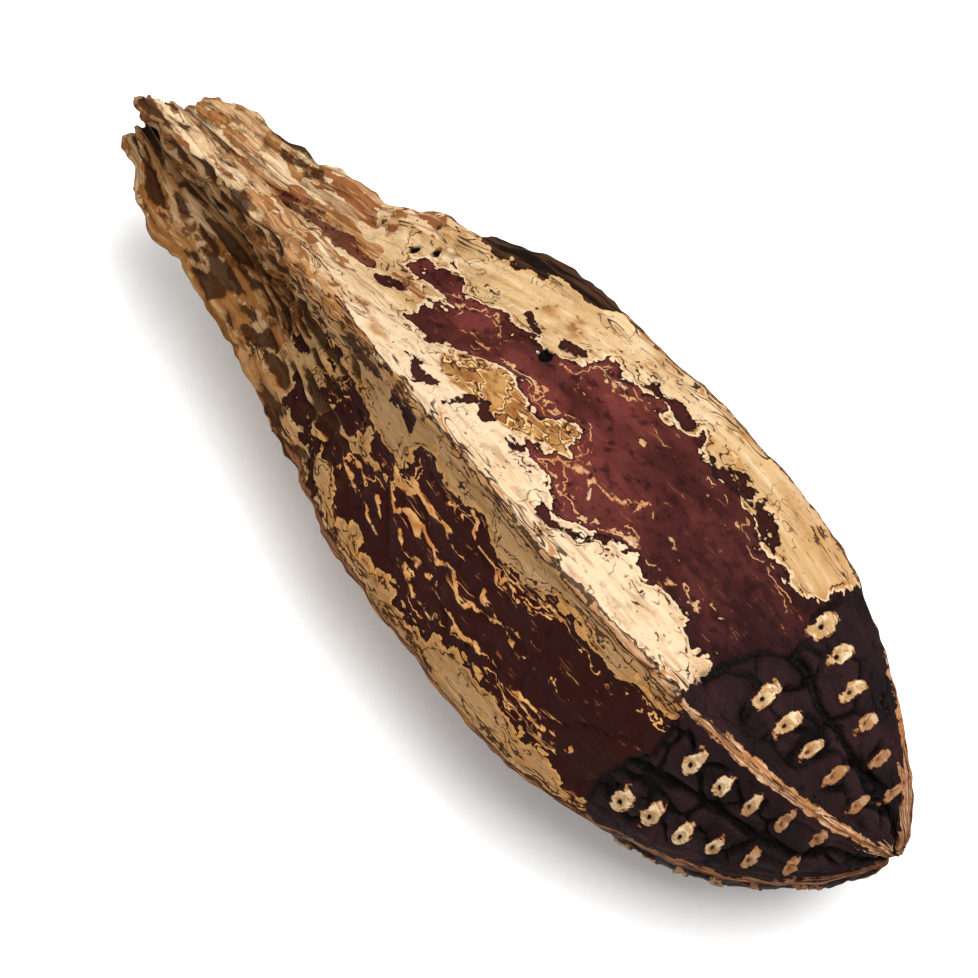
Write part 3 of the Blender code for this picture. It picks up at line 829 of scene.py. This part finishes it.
def peeling(tree, at, cream, maroon):
    """Cream over maroon with a torn, stepped edge between them: (the finish, where the cream is off)."""
    coarse = shards(tree, at.grain, size=1.15, stretch=1.7)
    small = shards(tree, at.place, size=0.55, stretch=1.3)
    jag, step, fine = coarse["Distance"], coarse["Color"], small["Distance"]
    pulls = (jag, 0.1, 1.0, 0.34), (step, 0.2, 0.8, 0.30), (fine, 0.1, 1.0, 0.16)
    depth = frayed(tree, at.print_depth, *pulls)
    strip = frayed(tree, at.strip_gap, (fine, 0.1, 1.0, 0.08), (step, 0.2, 0.8, -0.075))
    crack = frayed(tree, at.crack_gap, (fine, 0.1, 1.0, -0.128), (step, 0.2, 0.8, -0.15))
    cream = curled_edge(tree, at, cream, depth)
    maroon = left_slips(tree, at, cream, maroon, depth, strip)
    split = where(tree, (crack, 0.05, -0.05))
    off = highest(tree, where(tree, (depth, -0.05, 0.05)), split)
    peeled = laid_over(tree, off, cream, maroon)
    # Painted shadow: a dark line on the maroon just past the cream's torn edge, and along the edges of the
    # cracks, where the cream's step would cast its shadow.
    rim = highest(tree, line(tree, depth, 0.09, 0.12), line(tree, crack, 0.0, 0.1))
    colour = stained(
        tree, peeled[0],
        ("#280f0c", 0.8, (split, 0.0, 1.0)),
        ("#1b0b08", 0.85, (rim, 0.0, 1.0)),
    )  # fmt: skip
    return (colour, peeled[1]), off


def rib_fibres(tree, at):
    """Bare wood of a rib: hard parallel fibres, pale on top, with dark lines between them."""
    tone = add(tree, "Math", (at.fibre, at.dent), operation="ADD")
    colour = stained(
        tree, linear("#7a4b2a"),
        ("#a57a58", 1.0, (tone, 0.75, 1.0)),
        ("#c2a282", 1.0, (tone, 1.0, 1.25)),
        ("#94642f", 0.6, (at.run, 88.0, 76.0)),
        ("#4f281b", 0.85, (at.brown, 0.0, 1.0)),
        ("#27110a", 0.85, (at.fibre, 0.46, 0.40), (at.patch, 0.40, 0.52)),
        ("#3a1c10", line(tree, at.streak, 0.47, 0.02, 0.8), (at.blotch, 0.44, 0.48)),
    )  # fmt: skip
    return colour, even(0.8)


def crest_lines(tree, at, skin, crest):
    """Dark and golden lines of fibre that run along each crest and cross each other."""
    lower = highest(tree, at.dusk, where(tree, (at.patch, 0.55, 0.58)))
    beside = (crest, -1.5, -1.0)
    golden, dark = "#96602e", "#2a130a"
    colour = stained(
        tree, skin[0],
        (golden, line(tree, at.strand, 0.512, 0.017, 0.8), beside),
        (dark, line(tree, at.strand, 0.47, 0.013, 0.9), beside),
        (dark, line(tree, at.strand, 0.56, 0.012, 0.9), beside),
        (dark, line(tree, crest, -0.10, 0.12, 0.9)),
        (dark, line(tree, crest, -0.65, 0.12, 0.9), (at.patch, 0.45, 0.49), (lower, 0.0, 1.0)),
        (dark, line(tree, crest, -1.35, 0.11, 0.9), (at.blotch, 0.50, 0.54), (lower, 0.0, 1.0)),
    )  # fmt: skip
    return colour, skin[1]


def dark_flap(tree, at, skin):
    """The flap of skin that has lifted: painted brown-black and fibrous, partly its own brown and partly
    painted shade, inside a pale torn rim.
    """
    lifted = frayed(tree, at.flap, (at.dent, 0.3, 0.7, 0.45), (at.patch, 0.3, 0.7, 0.9))
    dark = stained(tree, linear("#150c08"), ("#3e2719", 1.0, (at.fibre, 0.42, 0.60)))
    colour = add(tree, "MixRGB", (where(tree, (lifted, -0.05, 0.05)), skin[0], dark))
    return stained(tree, colour, ("#b98c5a", line(tree, lifted, -0.15, 0.14, 0.7))), skin[1]


def torn_stalk(tree, at):
    """Weathered stalk wood: tan, grey-cream and brown scraps, cracked apart, with fibres between them."""
    bend = add(tree, "TexNoise", {"Vector": at.place, "Scale": 1 / SCRAP_BEND_SIZE, "Detail": 3.0})
    reach = (SCRAP_BEND, SCRAP_BEND, SCRAP_BEND)
    bent = add(tree, "VectorMath", (bend.outputs["Color"], reach, at.grain), operation="MULTIPLY_ADD")
    drawn = add(tree, "Mapping", {0: bent, "Scale": (1 / SCRAP_STRETCH, 1, 1)})
    scraps = add(tree, "TexVoronoi", {"Vector": drawn, "Scale": 1 / SCRAP_SIZE}).outputs
    tone = scraps["Color"]
    torn = frayed(tree, at.crack_gap, (at.dent, 0.3, 0.7, 0.7))
    # Painted shade: on the shaded faces the gaps between the scraps are painted darker and the wood
    # browner.
    gap = add(tree, "MapRange", (at.dusk, 0.0, 1.0, 0.6, 0.85))
    colour = stained(
        tree, linear("#7b4b2c"),
        ("#96683c", 1.0, (tone, 0.22, 0.39)),
        ("#a8805a", 1.0, (tone, 0.39, 0.50)),
        ("#b59771", 1.0, (tone, 0.50, 0.64)),
        ("#c4ab88", 1.0, (tone, 0.64, 0.78)),
        ("#bb9a72", 0.6, (at.streak, 0.53, 0.64)),
        ("#6b4020", 0.6, (at.fibre, 0.46, 0.38)),
        ("#6b4324", 0.6, (at.strand, 0.44, 0.36)),
        ("#52281f", 0.9, (torn, 0.30, 0.1)),
        ("#6a4319", 0.58, (at.dusk, 0.0, 1.0)),
        ("#4a2810", gap, (scraps["Distance"], 0.60, 0.70), (at.dent, 0.46, 0.55)),
    )  # fmt: skip
    return colour, even(0.88)


def painted_hollow_shade(tree, at, skin):
    """Painted shade in the hollows between the stalk's strands: their bottoms are painted dark brown."""
    deep = frayed(tree, at.hollow, (at.dent, 0.2, 0.8, 0.25))
    return stained(tree, skin[0], ("#2f190b", 0.9, (deep, 0.20, 0.38))), skin[1]


def scar_zone(tree, at):
    """The dark skin where the seeds sat: near black, slightly glossy, finely wrinkled, split in plates."""
    colour = stained(tree, linear("#120a0a"), ("#251314", 1.0, (at.blotch, 0.35, 0.62)))
    return colour, add(tree, "MapRange", (at.dent, 0.35, 0.65, 0.62, 0.48))


def seed_scars(tree, at):
    """Where the seeds broke off, and the finish there: pale corky wood in a brown rim, with a dark pit;
    the dark of the pit and the brown round it are painted shade.
    """
    part = add(tree, "SeparateXYZ", (at.scar,)).outputs
    pulls = (at.grit, 0.2, 0.8, 0.22), (at.dent, 0.25, 0.75, 0.42), (at.curl, 0.3, 0.7, 0.16)
    far = frayed(tree, part["Z"], *pulls)
    aside = add(tree, "Math", (part["X"], PIT_PLACE[0]), operation="SUBTRACT")
    ahead = add(tree, "Math", (part["Y"], PIT_SQUAT, -PIT_SQUAT * PIT_PLACE[1]), operation="MULTIPLY_ADD")
    from_pit = add(tree, "Math", (ahead, ahead), operation="MULTIPLY")
    from_pit = add(tree, "Math", (aside, aside, from_pit), operation="MULTIPLY_ADD")
    colour = stained(
        tree, linear("#a07c50"),
        ("#c9b795", 1.0, (at.dent, 0.38, 0.6)),
        # Painted shade: browner towards the pit, in the scar's dish.
        ("#87603a", 0.65, (from_pit, 0.85, 0.15)),
        ("#7b5130", line(tree, at.dent, 0.47, 0.02, 0.8), (at.grit, 0.44, 0.50)),
        ("#6b3f1f", 1.0, (far, 0.90, 1.06)),
        # Painted shade: the pit is painted near black.
        ("#150a07", 1.0, (from_pit, 0.12, 0.05)),
        # Painted shade: browner scars on the faces at 0.6 painted shade.
        ("#5c3a25", line(tree, at.dusk, 0.6, 0.2, 0.6)),
        ("#75482b", 0.75, (at.run, 96.0, 103.0)),
    )  # fmt: skip
    return where(tree, (far, 1.13, 1.06)), (colour, even(0.8))


def fine_relief(tree, at, off):
    """Height of what is too fine for the mesh, in mm: dents, streaks and the edge of the peeled skin."""
    most = add(tree, "MapRange", (off, 0.0, 1.0, STREAK_RELIEF, PRINT_STREAK_RELIEF))
    height = add(tree, "Math", (at.streak, most), operation="MULTIPLY")
    height = add(tree, "Math", (at.dent, DENT_RELIEF, height), operation="MULTIPLY_ADD")
    height = add(tree, "Math", (at.strand, STRAND_RELIEF, height), operation="MULTIPLY_ADD")
    return add(tree, "Math", (off, -SKIN_THICKNESS, height), operation="MULTIPLY_ADD")


def dried_husk():
    """Mahogany husk that dried and peeled: matt, cream where its skin is left, maroon where it is off."""
    material = bpy.data.materials.new("dried_mahogany_husk")
    material.use_nodes = True
    tree = material.node_tree
    shader = tree.nodes["Principled BSDF"]
    shader.inputs["Specular IOR Level"].default_value = HUSK_SPECULAR
    at = skin_facts(tree)
    cream = golden_flakes(tree, at, flaking_cream(tree, at))
    skin, off = peeling(tree, at, cream, wing_print(tree, at))
    crest = frayed(tree, at.bare, (at.strand, 0.2, 0.8, 0.45), (at.dent, 0.2, 0.8, 0.4))
    skin = laid_over(tree, where(tree, (crest, -0.06, 0.06)), skin, rib_fibres(tree, at))
    skin = dark_flap(tree, at, crest_lines(tree, at, skin, crest))
    from_stalk = frayed(tree, at.run, (at.blotch, 0.2, 0.8, 11.0))
    stalk = where(tree, (from_stalk, STALK_REACH + 0.3, STALK_REACH - 0.3))
    skin = laid_over(tree, stalk, skin, torn_stalk(tree, at))
    skin = painted_hollow_shade(tree, at, skin)
    tip = frayed(tree, at.tip_depth, (at.dent, 0.2, 0.8, 0.9))
    skin = laid_over(tree, where(tree, (tip, -0.1, 0.1), (crest, 0.06, -0.06)), skin, scar_zone(tree, at))
    scars, corky = seed_scars(tree, at)
    skin = laid_over(tree, scars, skin, corky)
    # Painted shade: the open cracks of the scar zone and the knot holes are painted near black.
    holes = where(tree, (at.knots, 0.10, -0.10))
    shaded_depths = highest(tree, where(tree, (at.cracks, 0.15, 0.7)), holes)
    colour = stained(tree, skin[0], ("#080404", 1.0, (shaded_depths, 0.0, 1.0)))
    bump = add(tree, "Bump", {"Strength": 1.0, "Distance": MM, "Height": fine_relief(tree, at, off)})
    tree.links.new(colour.outputs[0], shader.inputs["Base Color"])
    tree.links.new(skin[1].outputs[0], shader.inputs["Roughness"])
    tree.links.new(bump.outputs[0], shader.inputs["Normal"])
    return material


# Studio.
def studio_floor():
    """Matt white card, wide enough to have no edge in view."""
    bpy.ops.object.select_all(action="DESELECT")
    bpy.ops.mesh.primitive_plane_add(size=FLOOR_SIZE, location=(0, 0, 0))
    floor = bpy.context.object
    floor.name = "floor"
    material = bpy.data.materials.new("matt_white_card")
    material.use_nodes = True
    tree = material.node_tree
    shader = tree.nodes["Principled BSDF"]
    place = add(tree, "TexCoord").outputs["Object"]
    tooth = add(tree, "TexNoise", {"Vector": place, "Scale": 900.0, "Detail": 2.0})
    tint = add(tree, "MixRGB", (tooth, linear("#f4f4f3"), linear("#fafaf9")))
    tree.links.new(tint.outputs[0], shader.inputs["Base Color"])
    shader.inputs["Roughness"].default_value = 0.9
    floor.data.materials.append(material)


def aim(thing, target):
    """Turns a camera or a light towards a point."""
    thing.rotation_euler = (Vector(target) - thing.location).to_track_quat("-Z", "Y").to_euler()


def seen_from(azimuth, elevation):
    a, e = math.radians(azimuth), math.radians(elevation)
    return Vector((math.sin(a) * math.cos(e), -math.cos(a) * math.cos(e), math.sin(e)))


def soft_light(name, place, size, watts):
    """A square light panel that faces the core."""
    light = bpy.data.lights.new(name, "AREA")
    light.size = size
    light.energy = watts
    lamp = bpy.data.objects.new(name, light)
    lamp.location = place
    bpy.context.scene.collection.objects.link(lamp)
    aim(lamp, KEY_TARGET)


def studio():
    """White room, one large soft light from above, and the camera at the photograph's angle."""
    scene = bpy.context.scene
    scene.view_settings.view_transform = "Standard"
    world = bpy.data.worlds.new("studio")
    world.use_nodes = True
    sky = world.node_tree.nodes["Background"]
    sky.inputs["Color"].default_value = linear("#ffffff")
    sky.inputs["Strength"].default_value = SKY_STRENGTH
    scene.world = world
    studio_floor()
    soft_light("key", KEY_PLACE, KEY_SIZE, KEY_WATTS)
    camera = bpy.data.objects.new("camera", bpy.data.cameras.new("camera"))
    scene.collection.objects.link(camera)
    camera.data.lens = CAMERA_LENS
    camera.location = Vector(CAMERA_TARGET) + seen_from(*PHOTO_VIEW) * CAMERA_DISTANCE
    aim(camera, CAMERA_TARGET)
    scene.camera = camera


husk = copy_of_solid()
shape_husk(husk)
husk.data.materials.append(dried_husk())
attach(husk, "root")
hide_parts("pod_core")
studio()
